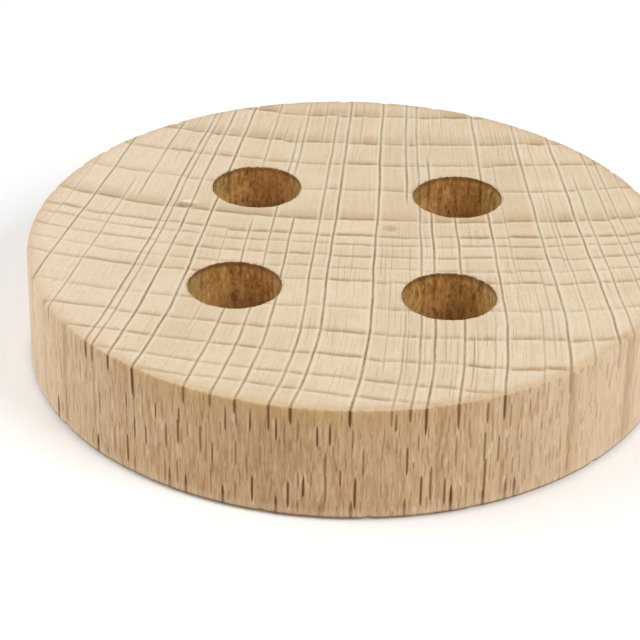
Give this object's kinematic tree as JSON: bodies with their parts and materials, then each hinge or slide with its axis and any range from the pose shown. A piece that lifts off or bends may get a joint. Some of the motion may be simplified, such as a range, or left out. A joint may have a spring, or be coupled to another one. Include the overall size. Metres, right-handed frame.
{
  "type": "wooden button",
  "caption": "Round flat wooden button with sanded edges and a square of drilled through holes for sewing it on.",
  "frame": {"origin": "centre of the back face, which the button lies on", "axes": "+Z out of the front face, X and Y along the rows of holes"},
  "size_m": [0.06, 0.06, 0.011],
  "materials": {
    "beech": "raw sanded end grain, matt"
  },
  "bodies": {
    "root": {"button": "beech"}
  },
  "joints": []
}
